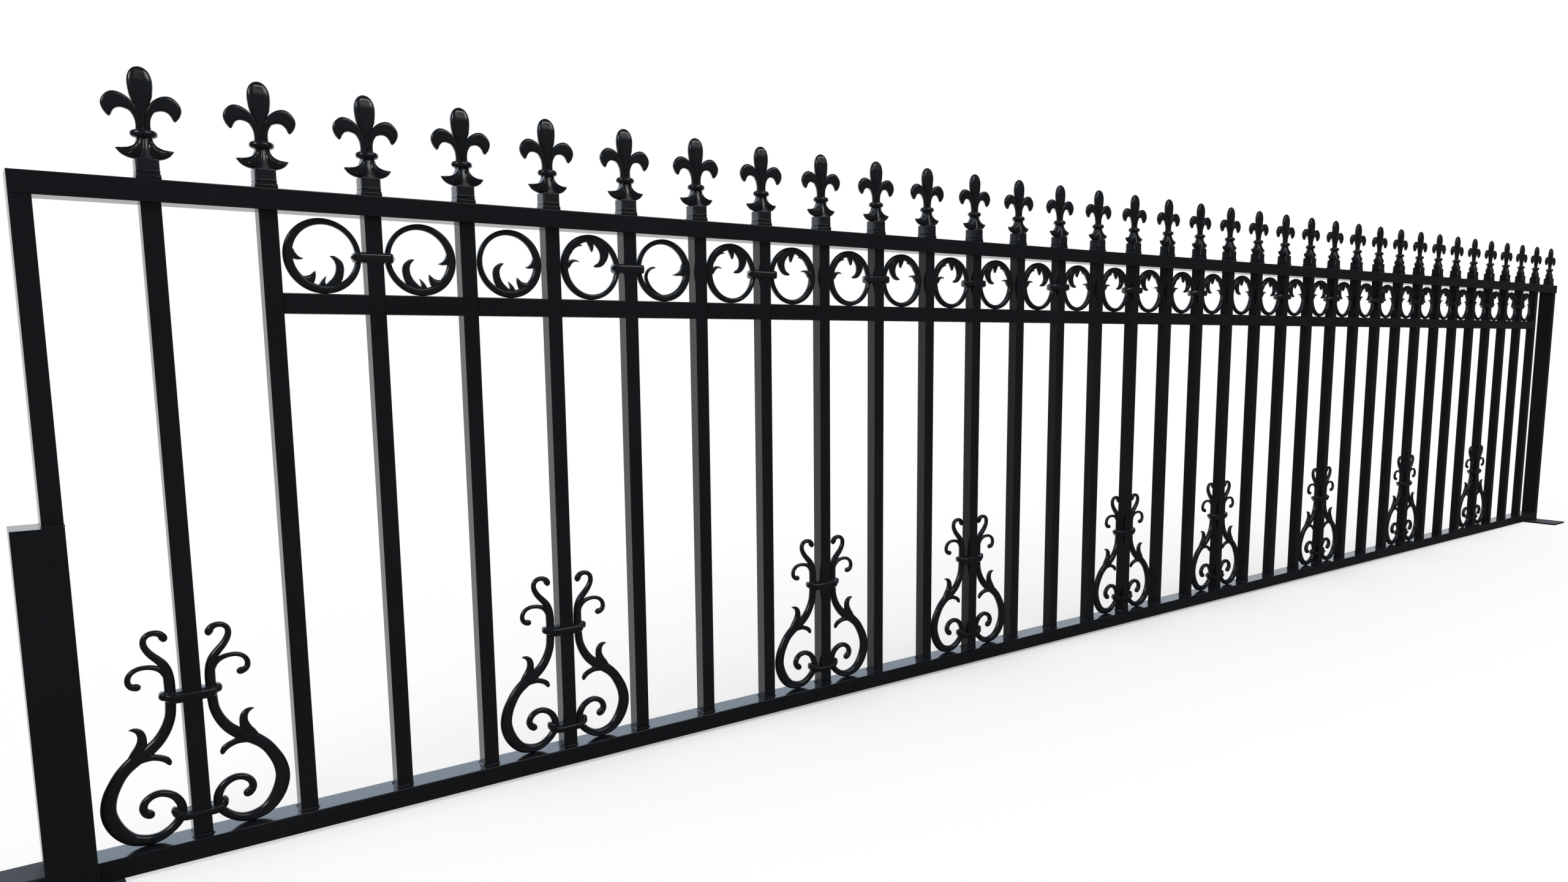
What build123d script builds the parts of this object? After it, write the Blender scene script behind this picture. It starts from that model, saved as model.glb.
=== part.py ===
from build123d import *
import math
import os

# Ornamental steel fence panel: square pickets between three rails, cast
# fleur-de-lis finials, cast rings under the top rail and cast lyre scrolls
# on the bottom rail. Millimetres, +Z up, +X along the fence, front faces -Y.
# The origin is the middle of the underside of the left base plate.

os.makedirs("parts", exist_ok=True)

# Picket spacing and count
PITCH = 145.0
LAST_POSITION = 35
PICKET_SIDE = 25.0
PICKETS_PER_NODE = 5

# Rails and stiles, all drawn square tube or rectangular tube
RAIL_HEIGHT = 30.0
RAIL_DEPTH = 50.0
RING_RAIL_HEIGHT = 30.0
RING_RAIL_DEPTH = 25.0
STILE_WIDTH = 25.0
TUBE_CORNER = 1.5

# Clear heights between the rails
LOWER_OPENING = 750.0
RING_OPENING = 115.0

# Left post, base plates and the short tail rail beyond the post
POST_WIDTH = 60.0
POST_DEPTH = 60.0
POST_HEIGHT = 500.0
LEFT_PLATE_WIDTH = 120.0
LEFT_PLATE_DEPTH = 140.0
RIGHT_PLATE_WIDTH = 100.0
RIGHT_PLATE_FRONT_REACH = 125.0
RIGHT_PLATE_BACK_REACH = 70.0
PLATE_THICKNESS = 6.0
TAIL_LENGTH = 290.0
TAIL_DEPTH = 60.0
TOP_RAIL_OVERHANG = 10.0

# Cast rings
FIRST_RING_PICKET = 2
LAST_RING_PICKET = 34
RINGS_PER_NODE = 4
RING_DIAMETER = 110.0
RING_BAR_THIN = 8.0
RING_BAR_THICK = 13.6
RING_THIN_SIDE_ANGLE = 30.0
CASTING_THICKNESS = 12.0
SEAT_GAP = 0.2
RING_COLLAR_PICKETS = [3, 6, 8, 10, 12, 14, 16, 18, 21, 23, 25, 27, 29, 31, 33]

# Cast lyre scrolls and their collars
LYRE_PICKETS = [1, 5, 9, 12, 16, 19, 23, 27, 31]
LYRE_COLLAR_LEVELS = [209.0, 32.5]
LYRE_COLLAR_HEIGHTS = [17.0, 12.5]
LYRE_COLLAR_REACH = [34.0, 30.0]
COLLAR_BAND = 2.5
RING_COLLAR_HEIGHT = 15.0

# Cast finials
FINIAL_HEIGHT = 148.0
SOCKET_SIDE = 28.8
SOCKET_HEIGHT = 28.0
SOCKET_FOOT_SIDE = 31.0
SOCKET_FOOT_HEIGHT = 6.0
PETAL_THICKNESS = 12.0
BUD_THICKNESS = 15.0
BUD_FOOT_LEVEL = 100.0
RIB_TOP_LEVEL = 56.0
FINIAL_COLLAR_WIDTH = 33.0
FINIAL_COLLAR_DEPTH = 26.0
FINIAL_COLLAR_FOOT = 54.6
FINIAL_COLLAR_HEIGHT = 13.0
NECK_SIDE = 12.0

# Places that follow from the sizes above
FIRST_X = POST_WIDTH / 2 - STILE_WIDTH / 2
END_X = FIRST_X + LAST_POSITION * PITCH
RIGHT_FACE_X = END_X + STILE_WIDTH / 2
GROUND_TOP = PLATE_THICKNESS
BOTTOM_RAIL_TOP = GROUND_TOP + RAIL_HEIGHT
RING_RAIL_BOTTOM = BOTTOM_RAIL_TOP + LOWER_OPENING
RING_RAIL_TOP = RING_RAIL_BOTTOM + RING_RAIL_HEIGHT
TOP_RAIL_BOTTOM = RING_RAIL_TOP + RING_OPENING
TOP_RAIL_TOP = TOP_RAIL_BOTTOM + RAIL_HEIGHT
POST_TOP = GROUND_TOP + POST_HEIGHT
BACK_FACE_Y = RAIL_DEPTH / 2
RING_RADIUS = RING_DIAMETER / 2
RING_CENTRE_Z = RING_RAIL_TOP + SEAT_GAP + RING_RADIUS


def position_x(number):
    """X of the middle of the upright at this position along the panel."""
    return FIRST_X + number * PITCH


def tapered_bar(points, widths):
    """Closed outline of a bar along a smooth line, wide as given at each point."""
    centre = Spline(*points, mode=Mode.PRIVATE)
    reached = [0.0]
    for before, after in zip(points, points[1:]):
        reached.append(reached[-1] + math.dist(before, after))
    steps = 3 * (len(points) - 1)
    left = []
    right = []
    for i in range(steps + 1):
        share = i / steps
        distance = share * reached[-1]
        k = max(n for n in range(len(points) - 1) if reached[n] <= distance)
        along = (distance - reached[k]) / (reached[k + 1] - reached[k])
        half = (widths[k] + (widths[k + 1] - widths[k]) * along) / 2
        place = centre.position_at(share)
        heading = centre.tangent_at(share)
        left.append((place.X - half * heading.Y, place.Y + half * heading.X))
        right.append((place.X + half * heading.Y, place.Y - half * heading.X))
    Spline(*left)
    Spline(*right)
    Line(left[0], right[0])
    Line(left[-1], right[-1])


def leaf(inner, outer, tip):
    """Closed outline of a cast leaf: two smooth edges from its root to one tip."""
    Spline(*inner, tip)
    Spline(*outer, tip)
    Line(inner[0], outer[0])


def save(part, name):
    """Label a finished piece and write it out."""
    part.label = name
    export_step(part, f"parts/{name}.step")


# Left post: closed box section on the base plate, its front proud of the rails
with BuildPart() as left_post:
    with BuildSketch(Plane.XY.offset(GROUND_TOP)):
        with Locations((0, BACK_FACE_Y - POST_DEPTH / 2)):
            RectangleRounded(POST_WIDTH, POST_DEPTH, TUBE_CORNER)
    extrude(amount=POST_HEIGHT)
save(left_post.part, "left_post")

# Base plates: one under the post, one under the right stile and the rail's end
with BuildPart() as left_base_plate:
    with BuildSketch():
        Rectangle(LEFT_PLATE_WIDTH, LEFT_PLATE_DEPTH)
    extrude(amount=PLATE_THICKNESS)
save(left_base_plate.part, "left_base_plate")

# The right plate reaches further to the front than to the back
RIGHT_PLATE_DEPTH = RIGHT_PLATE_FRONT_REACH + RIGHT_PLATE_BACK_REACH
RIGHT_PLATE_MIDDLE_Y = (RIGHT_PLATE_BACK_REACH - RIGHT_PLATE_FRONT_REACH) / 2
with BuildPart() as right_base_plate:
    with BuildSketch():
        with Locations((RIGHT_FACE_X - RIGHT_PLATE_WIDTH / 2, RIGHT_PLATE_MIDDLE_Y)):
            Rectangle(RIGHT_PLATE_WIDTH, RIGHT_PLATE_DEPTH)
    extrude(amount=PLATE_THICKNESS)
save(right_base_plate.part, "right_base_plate")

# Left stile: stands on the post, its right face in line with the post's
with BuildPart() as left_stile:
    with BuildSketch(Plane.XY.offset(POST_TOP)):
        with Locations((FIRST_X, 0)):
            RectangleRounded(STILE_WIDTH, RAIL_DEPTH, TUBE_CORNER)
    extrude(amount=TOP_RAIL_BOTTOM - POST_TOP)
save(left_stile.part, "left_stile")

# Right stile: runs from the base plate up to the top rail
with BuildPart() as right_stile:
    with BuildSketch(Plane.XY.offset(GROUND_TOP)):
        with Locations((END_X, 0)):
            RectangleRounded(STILE_WIDTH, RAIL_DEPTH, TUBE_CORNER)
    extrude(amount=TOP_RAIL_BOTTOM - GROUND_TOP)
save(right_stile.part, "right_stile")

# Top rail: from the left stile's outer face to a little past the right stile
TOP_RAIL_START = FIRST_X - STILE_WIDTH / 2
TOP_RAIL_END = RIGHT_FACE_X + TOP_RAIL_OVERHANG
with BuildPart() as top_rail:
    with BuildSketch(Plane.YZ.offset(TOP_RAIL_START)):
        with Locations((0, TOP_RAIL_BOTTOM + RAIL_HEIGHT / 2)):
            RectangleRounded(RAIL_DEPTH, RAIL_HEIGHT, TUBE_CORNER)
    extrude(amount=TOP_RAIL_END - TOP_RAIL_START)
save(top_rail.part, "top_rail")

# Bottom rail: between the post's right face and the right stile
BOTTOM_RAIL_END = END_X - STILE_WIDTH / 2
with BuildPart() as bottom_rail:
    with BuildSketch(Plane.YZ.offset(POST_WIDTH / 2)):
        with Locations((0, GROUND_TOP + RAIL_HEIGHT / 2)):
            RectangleRounded(RAIL_DEPTH, RAIL_HEIGHT, TUBE_CORNER)
    extrude(amount=BOTTOM_RAIL_END - POST_WIDTH / 2)
save(bottom_rail.part, "bottom_rail")

# Tail rail: carries on to the left of the post, deeper to the back
TAIL_START = -POST_WIDTH / 2 - TAIL_LENGTH
with BuildPart() as tail_rail:
    with BuildSketch(Plane.YZ.offset(TAIL_START)):
        with Locations((TAIL_DEPTH / 2 - BACK_FACE_Y, GROUND_TOP + RAIL_HEIGHT / 2)):
            RectangleRounded(TAIL_DEPTH, RAIL_HEIGHT, TUBE_CORNER)
    extrude(amount=TAIL_LENGTH)
save(tail_rail.part, "tail_rail")

# Ring rail: one short length welded between each pair of pickets
CLEAR_BAY = PITCH - PICKET_SIDE
with BuildPart() as ring_rail:
    for bay in range(FIRST_RING_PICKET, LAST_RING_PICKET):
        start_x = position_x(bay) + PICKET_SIDE / 2
        with BuildSketch(Plane.YZ.offset(start_x)):
            with Locations((0, RING_RAIL_BOTTOM + RING_RAIL_HEIGHT / 2)):
                RectangleRounded(RING_RAIL_DEPTH, RING_RAIL_HEIGHT, TUBE_CORNER)
        extrude(amount=CLEAR_BAY)
save(ring_rail.part, "ring_rail")

# Pickets: square tubes from the bottom rail to the top rail, in runs of five
picket_numbers = list(range(1, LAST_POSITION))
picket_runs = [picket_numbers[i:i + PICKETS_PER_NODE]
               for i in range(0, len(picket_numbers), PICKETS_PER_NODE)]
for run_index, run in enumerate(picket_runs, start=1):
    with BuildPart() as pickets:
        with BuildSketch(Plane.XY.offset(BOTTOM_RAIL_TOP)):
            with Locations(*[(position_x(number), 0) for number in run]):
                RectangleRounded(PICKET_SIDE, PICKET_SIDE, TUBE_CORNER)
        extrude(amount=TOP_RAIL_BOTTOM - BOTTOM_RAIL_TOP)
    save(pickets.part, f"pickets_{run_index:02d}")

# Finial: cast fleur-de-lis on a square socket, drawn with its foot at the origin
PETAL_UNDER = [(8.5, 66), (8.3, 79), (14, 89.5), (25, 92.7), (34, 87.5), (38.5, 80)]
PETAL_OUTER = [(38.5, 80), (45.5, 88), (47, 97), (42, 108), (31, 113.4), (20, 110.5), (12.6, 105)]
BUD_SIDE = [(12.6, 105), (14.8, 118), (14.4, 132), (9.5, 143), (0, FINIAL_HEIGHT)]
HORN_OVER = [(8.5, 56), (12.5, 46.5), (19, 43.2), (28, 41.8), (35.5, 41)]
HORN_UNDER = [(35.5, 41), (30, 34.5), (22, 29.4), (14, SOCKET_HEIGHT)]

with BuildPart() as finial:
    with BuildSketch() as foot_outline:
        Rectangle(SOCKET_FOOT_SIDE, SOCKET_FOOT_SIDE)
    extrude(amount=SOCKET_FOOT_HEIGHT)
    with BuildSketch() as socket_outline:
        Rectangle(SOCKET_SIDE, SOCKET_SIDE)
    extrude(amount=SOCKET_HEIGHT)
    with BuildSketch(Plane.XZ) as leaf_outline:
        with BuildLine():
            Spline(*PETAL_UNDER)
            Spline(*PETAL_OUTER)
            Spline(*BUD_SIDE, tangents=[(0, 1), (-1, 0)])
            Line((0, FINIAL_HEIGHT), (0, SOCKET_HEIGHT))
            Line(PETAL_UNDER[0], HORN_OVER[0])
            Spline(*HORN_OVER)
            Spline(*HORN_UNDER)
            Line(HORN_UNDER[-1], (0, SOCKET_HEIGHT))
        make_face()
        mirror(about=Plane.YZ)
    extrude(amount=PETAL_THICKNESS / 2, both=True)
    with BuildSketch(Plane.XZ) as bud_outline:
        with BuildLine():
            Polyline((0, BUD_FOOT_LEVEL), BUD_SIDE[0])
            Spline(*BUD_SIDE, tangents=[(0, 1), (-1, 0)])
            Line((0, FINIAL_HEIGHT), (0, BUD_FOOT_LEVEL))
        make_face()
        mirror(about=Plane.YZ)
    extrude(amount=BUD_THICKNESS / 2, both=True)
    with BuildSketch(Plane.XY.offset(SOCKET_HEIGHT)) as rib_foot:
        Rectangle(SOCKET_SIDE - 2, SOCKET_SIDE - 2)
    with BuildSketch(Plane.XY.offset(RIB_TOP_LEVEL)) as rib_head:
        Rectangle(NECK_SIDE, NECK_SIDE)
    loft(sections=[rib_foot.sketch, rib_head.sketch])
    with BuildSketch(Plane.XY.offset(FINIAL_COLLAR_FOOT)):
        Ellipse(FINIAL_COLLAR_WIDTH / 2, FINIAL_COLLAR_DEPTH / 2)
    extrude(amount=FINIAL_COLLAR_HEIGHT)

finial_numbers = list(range(1, LAST_POSITION + 1))
finial_runs = [finial_numbers[i:i + PICKETS_PER_NODE]
               for i in range(0, len(finial_numbers), PICKETS_PER_NODE)]
for run_index, run in enumerate(finial_runs, start=1):
    places = [Location((position_x(number), 0, TOP_RAIL_TOP)) for number in run]
    with BuildPart() as finials:
        for place in places:
            add(finial.part.moved(place))
    save(finials.part, f"finials_{run_index:02d}")

# Ring: tapered open bar with a curled leaf, two small leaves and a thorn inside,
# its collar at the right. The first one has its leaves at the bottom.
BAR_EXCESS = (RING_BAR_THICK - RING_BAR_THIN) / 2
HOLE_RADIUS = RING_RADIUS - (RING_BAR_THIN + RING_BAR_THICK) / 2
HOLE_SHIFT_X = BAR_EXCESS * math.cos(math.radians(RING_THIN_SIDE_ANGLE))
HOLE_SHIFT_Z = BAR_EXCESS * math.sin(math.radians(RING_THIN_SIDE_ANGLE))
with BuildPart() as low_ring:
    with BuildSketch(Plane.XZ):
        Circle(RING_RADIUS)
        with Locations((HOLE_SHIFT_X, HOLE_SHIFT_Z)):
            Circle(HOLE_RADIUS, mode=Mode.SUBTRACT)
        with BuildLine():
            leaf([(-3, -46), (12, -31), (18, -15), (14.5, -4)],
                 [(12, -48), (27, -32), (29.5, -15), (22.5, -2.4)], (9.5, 0.5))
        make_face()
        with BuildLine():
            leaf([(-9, -45), (-1.2, -33)], [(4, -46), (2.4, -33)], (3.6, -28))
        make_face()
        with BuildLine():
            leaf([(-46, -12), (-33, -27.4), (-20, -28)],
                 [(-46, -20), (-31, -39), (-14.5, -38)], (-11.4, -21))
        make_face()
        with BuildLine():
            leaf([(-46, 16), (-38.5, 5)], [(-48, -9), (-38, -6.6)], (-26, -4.5))
        make_face()
    extrude(amount=CASTING_THICKNESS / 2, both=True)

ring_low_right = low_ring.part
ring_low_left = mirror(ring_low_right, about=Plane.YZ)

# The usual ring has its leaves at the top
with BuildPart() as high_ring:
    with BuildSketch(Plane.XZ):
        Circle(RING_RADIUS)
        with Locations((HOLE_SHIFT_X, -HOLE_SHIFT_Z)):
            Circle(HOLE_RADIUS, mode=Mode.SUBTRACT)
        with BuildLine():
            leaf([(-2, 46), (15.8, 31.5), (19.5, 16), (13, 6.5)],
                 [(16, 48), (33.8, 30.5), (33, 15), (20, 2)], (6.4, 1.5))
        make_face()
        with BuildLine():
            leaf([(-6, 45), (0.8, 32)], [(8, 46), (6.4, 32)], (3.8, 25.6))
        make_face()
        with BuildLine():
            leaf([(-44, 12), (-31, 27.5)], [(-47, 20), (-30, 39)], (-12.8, 35.6))
        make_face()
        with BuildLine():
            leaf([(-47, -8), (-36.4, 3)], [(-46, 14), (-32, 12.8)], (-20.2, 8))
        make_face()
    extrude(amount=CASTING_THICKNESS / 2, both=True)

ring_high_right = high_ring.part
ring_high_left = mirror(ring_high_right, about=Plane.YZ)

# Plainer ring: thorn at the right and one thin curl inside, its collar at the left
with BuildPart() as plain_ring:
    with BuildSketch(Plane.XZ):
        Circle(RING_RADIUS)
        with Locations((-HOLE_SHIFT_X, HOLE_SHIFT_Z)):
            Circle(HOLE_RADIUS, mode=Mode.SUBTRACT)
        with BuildLine():
            tapered_bar([(4, -48), (-16, -41), (-29, -30), (-36, -14), (-31, -1), (-17, 4.4)],
                        [6, 7, 7, 6.5, 5.5, 2])
        make_face()
        with BuildLine():
            leaf([(45, 22), (36, 4)], [(48, -9), (34, -8.8)], (18, -7.4))
        make_face()
    extrude(amount=CASTING_THICKNESS / 2, both=True)

# Ring collar: band round the picket that holds the rings on both sides
COLLAR_CLEARANCE = 1.6
RING_COLLAR_REACH = PITCH / 2 - RING_RADIUS + RING_BAR_THIN + COLLAR_CLEARANCE
RING_COLLAR_TIP = 3.0


def collar_band(reach):
    """Outline, seen from above, of a band round a picket that reaches this far."""
    Rectangle(2 * (reach + COLLAR_BAND), PICKET_SIDE + 2 * COLLAR_BAND)
    Rectangle(2 * reach, PICKET_SIDE, mode=Mode.SUBTRACT)


with BuildPart() as ring_collar:
    with BuildSketch(Plane.XY.offset(-RING_COLLAR_HEIGHT / 2)):
        collar_band(RING_COLLAR_REACH)
    extrude(amount=RING_COLLAR_HEIGHT)
    with BuildSketch(Plane.XZ):
        with BuildLine():
            Polyline((RING_COLLAR_REACH + COLLAR_BAND, -RING_COLLAR_HEIGHT / 2),
                     (RING_COLLAR_REACH + COLLAR_BAND + RING_COLLAR_TIP, 0),
                     (RING_COLLAR_REACH + COLLAR_BAND, RING_COLLAR_HEIGHT / 2), close=True)
        make_face()
        mirror(about=Plane.YZ)
    extrude(amount=PICKET_SIDE / 4, both=True)


def ring_for(bay):
    """The ring of the bay to the right of this picket: which way its leaf turns."""
    if bay in (3, 4):
        return ring_low_left
    if bay == 2:
        return ring_low_right
    if bay == 6:
        return plain_ring.part
    if bay + 1 in RING_COLLAR_PICKETS:
        return ring_high_right
    return ring_high_left


ring_bays = list(range(FIRST_RING_PICKET, LAST_RING_PICKET))
ring_runs = [ring_bays[i:i + RINGS_PER_NODE]
             for i in range(0, len(ring_bays), RINGS_PER_NODE)]
for run_index, run in enumerate(ring_runs, start=1):
    with BuildPart() as rings:
        for bay in run:
            add(ring_for(bay).moved(Location((position_x(bay) + PITCH / 2, 0, RING_CENTRE_Z))))
    save(rings.part, f"rings_{run_index:02d}")

with BuildPart() as ring_collars:
    for number in RING_COLLAR_PICKETS:
        add(ring_collar.part.moved(Location((position_x(number), 0, RING_CENTRE_Z))))
save(ring_collars.part, "ring_collars")

# Lyre: the scroll to the right of its picket, heights from the bottom rail's top.
# The main bar runs from the stem down round the belly and into the low curl.
MAIN_BAR = [(26, 236), (26, 214), (28.6, 181), (45, 149), (68, 131), (87, 117.5), (107.8, 85),
            (112.6, 61.5), (106.5, 37), (83, 11.3), (54, 8.6), (33.6, 20.5), (23.4, 38), (26, 55),
            (40, 69.2), (60, 69.6), (70.6, 57), (68.5, 48.5)]
MAIN_WIDTHS = [14.5, 14.5, 14, 16, 18, 16.5, 18, 19, 20, 16, 12.6, 12, 12.3, 12, 10.5, 10, 10.6, 10.6]
TOP_CURL = [(26, 232), (31, 258.6), (45.5, 274.4), (53.4, 290.4), (47, 303.4), (37, 304), (31, 300)]
TOP_CURL_WIDTHS = [14.4, 11.6, 10.4, 8.8, 8, 8.4, 9.6]
SIDE_CURL = [(28, 236), (37, 252.4), (53, 257.4), (70.4, 253.2), (76, 238.6), (72, 233)]
SIDE_CURL_WIDTHS = [12, 8.6, 6.8, 7, 8, 8.6]
TOP_BALL = (29, 296)
SIDE_BALL = (67, 232.4)
LOW_BALL = (64.4, 48)
BALL_RADIUS = 6.2

with BuildPart() as scroll:
    with BuildSketch(Plane.XZ):
        with BuildLine():
            tapered_bar(MAIN_BAR, MAIN_WIDTHS)
        make_face()
        with BuildLine():
            tapered_bar(TOP_CURL, TOP_CURL_WIDTHS)
        make_face()
        with BuildLine():
            tapered_bar(SIDE_CURL, SIDE_CURL_WIDTHS)
        make_face()
        with BuildLine():
            leaf([(66, 128), (59.6, 145), (59.8, 161), (69, 172.4)],
                 [(86, 128), (75, 146), (71.2, 161)], (80.4, 171.4))
        make_face()
        with BuildLine():
            leaf([(66, 134), (48, 129.4), (34, 122)], [(72, 120), (55, 121.6), (41, 116)], (32.6, 109.6))
        make_face()
        with Locations(TOP_BALL, SIDE_BALL, LOW_BALL):
            Circle(BALL_RADIUS)
    extrude(amount=CASTING_THICKNESS / 2, both=True)

scroll_lift = BOTTOM_RAIL_TOP + SEAT_GAP - scroll.part.bounding_box().min.Z
right_scroll = scroll.part.moved(Location((0, 0, scroll_lift)))
left_scroll = mirror(right_scroll, about=Plane.YZ)

# Lyre collars: a plain upper band, and a lower one whose ends turn up
HOOK_RISE = 6.5
HOOK_WIDTH = 5.0
with BuildPart() as lyre_collars:
    for level, height, reach in zip(LYRE_COLLAR_LEVELS, LYRE_COLLAR_HEIGHTS, LYRE_COLLAR_REACH):
        with BuildSketch(Plane.XY.offset(BOTTOM_RAIL_TOP + level - height / 2)):
            collar_band(reach)
        extrude(amount=height)
    hook_foot = BOTTOM_RAIL_TOP + LYRE_COLLAR_LEVELS[1] - LYRE_COLLAR_HEIGHTS[1] / 2
    hook_height = LYRE_COLLAR_HEIGHTS[1] + HOOK_RISE
    hook_x = LYRE_COLLAR_REACH[1] + HOOK_WIDTH / 2
    with BuildSketch(Plane.XY.offset(hook_foot)):
        with Locations((-hook_x, 0), (hook_x, 0)):
            Rectangle(HOOK_WIDTH, CASTING_THICKNESS)
    extrude(amount=hook_height)

for lyre_index, number in enumerate(LYRE_PICKETS, start=1):
    place = Location((position_x(number), 0, 0))
    with BuildPart() as lyre:
        add(right_scroll.moved(place))
        add(left_scroll.moved(place))
        add(lyre_collars.part.moved(place))
    save(lyre.part, f"lyre_{lyre_index:02d}")
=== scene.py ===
import math

import bpy
import numpy as np
from mathutils import Matrix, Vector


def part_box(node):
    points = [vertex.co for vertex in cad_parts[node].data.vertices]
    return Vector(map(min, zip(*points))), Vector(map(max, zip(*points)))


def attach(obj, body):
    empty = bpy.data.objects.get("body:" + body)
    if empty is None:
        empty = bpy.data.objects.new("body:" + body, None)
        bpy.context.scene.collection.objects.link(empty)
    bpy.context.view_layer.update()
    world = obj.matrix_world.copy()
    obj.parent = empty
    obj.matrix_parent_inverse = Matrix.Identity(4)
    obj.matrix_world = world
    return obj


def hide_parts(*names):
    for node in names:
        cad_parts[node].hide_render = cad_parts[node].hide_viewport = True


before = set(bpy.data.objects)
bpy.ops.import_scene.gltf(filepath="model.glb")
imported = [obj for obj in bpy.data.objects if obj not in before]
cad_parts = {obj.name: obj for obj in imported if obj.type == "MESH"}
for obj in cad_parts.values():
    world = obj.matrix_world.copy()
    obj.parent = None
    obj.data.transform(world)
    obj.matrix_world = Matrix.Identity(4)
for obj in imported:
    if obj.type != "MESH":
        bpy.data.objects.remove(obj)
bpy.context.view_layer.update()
MM = 0.001


# Square tube frame
# Drawn mild steel tube, 25 mm pickets between 50 x 30 mm rails, with a boxed post and a tail rail at the
# left. It is cut, MIG welded, dressed and sprayed with a gloss black enamel that runs a little in places.
class Wire:
    """One socket of a material, so that sums of sockets and numbers read as arithmetic."""

    def __init__(self, tree, socket=None):
        self.tree = tree
        self.socket = socket

    def node(self, kind, setup, inputs, out=0):
        """Add a node with these settings, then give its sockets their values or wires."""
        made = self.tree.nodes.new(kind)
        for key, value in setup.items():
            setattr(made, key, value)
        for key, value in inputs.items():
            if isinstance(value, Wire):
                self.tree.links.new(value.socket, made.inputs[key])
            else:
                made.inputs[key].default_value = value
        return Wire(self.tree, made.outputs[out] if len(made.outputs) else None)

    def sum_with(self, operation, first, second):
        """Put one sum of two sockets or numbers into a Math node."""
        return self.node("ShaderNodeMath", {"operation": operation}, {0: first, 1: second})

    def __add__(self, other):
        return self.sum_with("ADD", self, other)

    def __radd__(self, other):
        return self.sum_with("ADD", other, self)

    def __sub__(self, other):
        return self.sum_with("SUBTRACT", self, other)

    def __rsub__(self, other):
        return self.sum_with("SUBTRACT", other, self)

    def __mul__(self, other):
        return self.sum_with("MULTIPLY", self, other)

    def __rmul__(self, other):
        return self.sum_with("MULTIPLY", other, self)


DEEP_TINT, WORN_TINT = (0.6, 0.78, 1.0), (1.2, 1.55, 1.95)
DUST_COLOUR = (0.15, 0.155, 0.165, 1.0)
CLOUD_SCALE, PEEL_SCALE, GRIT_SCALE = 6.0, 110.0, 420.0


def black_enamel(name, black, roughness, peel_depth, dust, coat=0.6):
    """Gloss black enamel: a cloudy black, a soft peel in the film, thin dust on top faces and a clear coat."""
    material = bpy.data.materials.new(name)
    material.use_nodes = True
    tree = material.node_tree
    tree.nodes.clear()
    start = Wire(tree)
    place = start.node("ShaderNodeTexCoord", {}, {}, out="Object")
    cloud = start.node("ShaderNodeTexNoise", {}, {"Vector": place, "Scale": CLOUD_SCALE, "Detail": 5.0})
    peel = start.node("ShaderNodeTexNoise", {}, {"Vector": place, "Scale": PEEL_SCALE, "Detail": 2.0})
    grit = start.node("ShaderNodeTexNoise", {}, {"Vector": place, "Scale": GRIT_SCALE, "Detail": 2.0})
    facing = start.node("ShaderNodeNewGeometry", {}, {}, out="Normal")
    up = start.node("ShaderNodeSeparateXYZ", {}, {"Vector": facing}, out="Z")
    lying = start.node("ShaderNodeMath", {"operation": "SMOOTH_MAX"}, {0: up, 1: 0.0, 2: 0.2})
    film = dust * lying * (0.3 + cloud)
    deep = start.node("ShaderNodeMix", {"data_type": "RGBA"},
                      {"Factor": cloud, "A": (*(black * part for part in DEEP_TINT), 1.0),
                       "B": (*(black * part for part in WORN_TINT), 1.0)}, out=2)
    dusty = start.node("ShaderNodeMix", {"data_type": "RGBA"},
                       {"Factor": film, "A": deep, "B": DUST_COLOUR}, out=2)
    rough = roughness + 0.08 * cloud + 0.04 * grit + 0.4 * film
    height = 0.85 * peel + 0.15 * grit
    bump = start.node("ShaderNodeBump", {}, {"Height": height, "Strength": 0.25, "Distance": peel_depth})
    shader = start.node("ShaderNodeBsdfPrincipled", {},
                        {"Base Color": dusty, "Roughness": rough, "Normal": bump, "Metallic": 0.0,
                         "IOR": 1.5, "Coat Weight": coat, "Coat Roughness": 0.05})
    start.node("ShaderNodeOutputMaterial", {}, {"Surface": shader})
    return material


tube_paint = black_enamel("tube_enamel", black=0.0045, roughness=0.14, peel_depth=0.0004, dust=0.02)
plate_paint = black_enamel("plate_enamel", black=0.010, roughness=0.45, peel_depth=0.0012, dust=0.12,
                           coat=0.05)
TUBES = ("pickets_", "left_", "right_", "top_", "bottom_", "tail_", "ring_rail")
for node_name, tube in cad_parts.items():
    if node_name.startswith(TUBES):
        tube.data.materials.clear()
        dull = node_name.endswith("plate") or node_name == "tail_rail"
        tube.data.materials.append(plate_paint if dull else tube_paint)

PITCH = 145.0 * MM
PICKET_HALF = 12.5 * MM
PICKETS = 34
LEFT_STILE, RIGHT_STILE = 0, PICKETS + 1
post_low, post_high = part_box("left_post")
first_picket_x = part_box("pickets_01")[0][0] + PICKET_HALF
top_rail_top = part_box("top_rail")[1][2] / MM
bottom_rail_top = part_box("bottom_rail")[1][2] / MM
ring_rail_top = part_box("ring_rail")[1][2] / MM


def picket_x(number):
    """Middle of the upright at this place in millimetres: pickets count from 1, with a stile at each end."""
    return (first_picket_x + (number - 1) * PITCH) / MM


# Finials
# Cast iron fleurs-de-lis on square sockets, sand cast in one piece with beaded leaf edges, dressed at the
# parting line, welded to the top rail over each picket and over the right stile, and enamelled black.
def knots(p):
    """Parameter of each point of a line: it grows by the square root of the distance to the next."""
    return np.concatenate([[0], np.cumsum(np.sqrt(np.linalg.norm(np.diff(p, axis=0), axis=1)))])


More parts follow.
